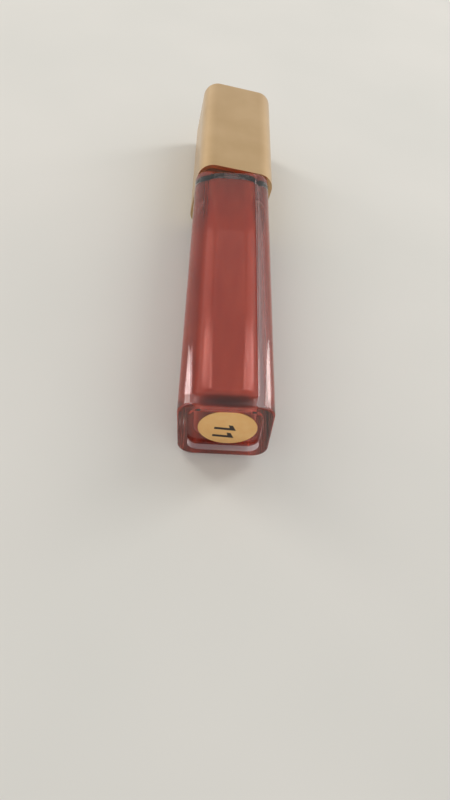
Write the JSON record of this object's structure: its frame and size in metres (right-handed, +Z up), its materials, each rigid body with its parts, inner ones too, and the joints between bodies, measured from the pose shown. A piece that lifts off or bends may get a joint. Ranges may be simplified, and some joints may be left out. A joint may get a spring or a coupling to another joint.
{
  "type": "lip gloss tube",
  "caption": "Square clear lip gloss tube with thick walls, lying on its side, with a gold screw cap that carries the wand and a round sticker on its base.",
  "frame": {"origin": "on the table plane, under the middle of the tube's length and on its centre line", "axes": "+Y along the tube towards the cap's end, +Z up from the table, +X to the right when seen from the base"},
  "size_m": [0.0188, 0.1052, 0.0188],
  "materials": {
    "clear_petg": "clear polished plastic",
    "lip_gloss": "thick glossy liquid",
    "wiper_ldpe": "milky soft plastic",
    "gold_foil_paper": "satin gold sticker",
    "metallised_abs": "satin pale gold metallised plastic",
    "liner_pp": "moulded plastic",
    "seal_foam": "soft foam",
    "stem_pp": "moulded plastic",
    "flock": "flocked fibre wet with gloss"
  },
  "bodies": {
    "bottle_body": {"bottle": "clear_petg", "gloss_fill": "lip_gloss", "wiper": "wiper_ldpe", "shade_sticker": "gold_foil_paper"},
    "seal_body": {"seal_washer": "seal_foam"},
    "stem_body": {"wand_stem": "stem_pp"},
    "cap_body": {"outer_cap": "metallised_abs", "inner_cap": "liner_pp", "applicator": "flock"}
  },
  "joints": [
    {"name": "cap_pull", "type": "slide", "parent": "bottle_body", "child": "seal_body", "axis": [0, 1, 0], "range_m": [0, 0.075]},
    {"name": "cap_advance", "type": "slide", "parent": "seal_body", "child": "stem_body", "axis": [0, 1, 0], "range_m": [0, 0.0045]},
    {"name": "cap_turn", "type": "hinge", "parent": "stem_body", "child": "cap_body", "pos_m": [0, 0, 0.0094], "axis": [0, 1, 0], "range_deg": [0, 540]}
  ],
  "couplings": [
    {"joint": "cap_advance", "follows": "cap_turn", "m_per_rad": 0.00047746}
  ]
}
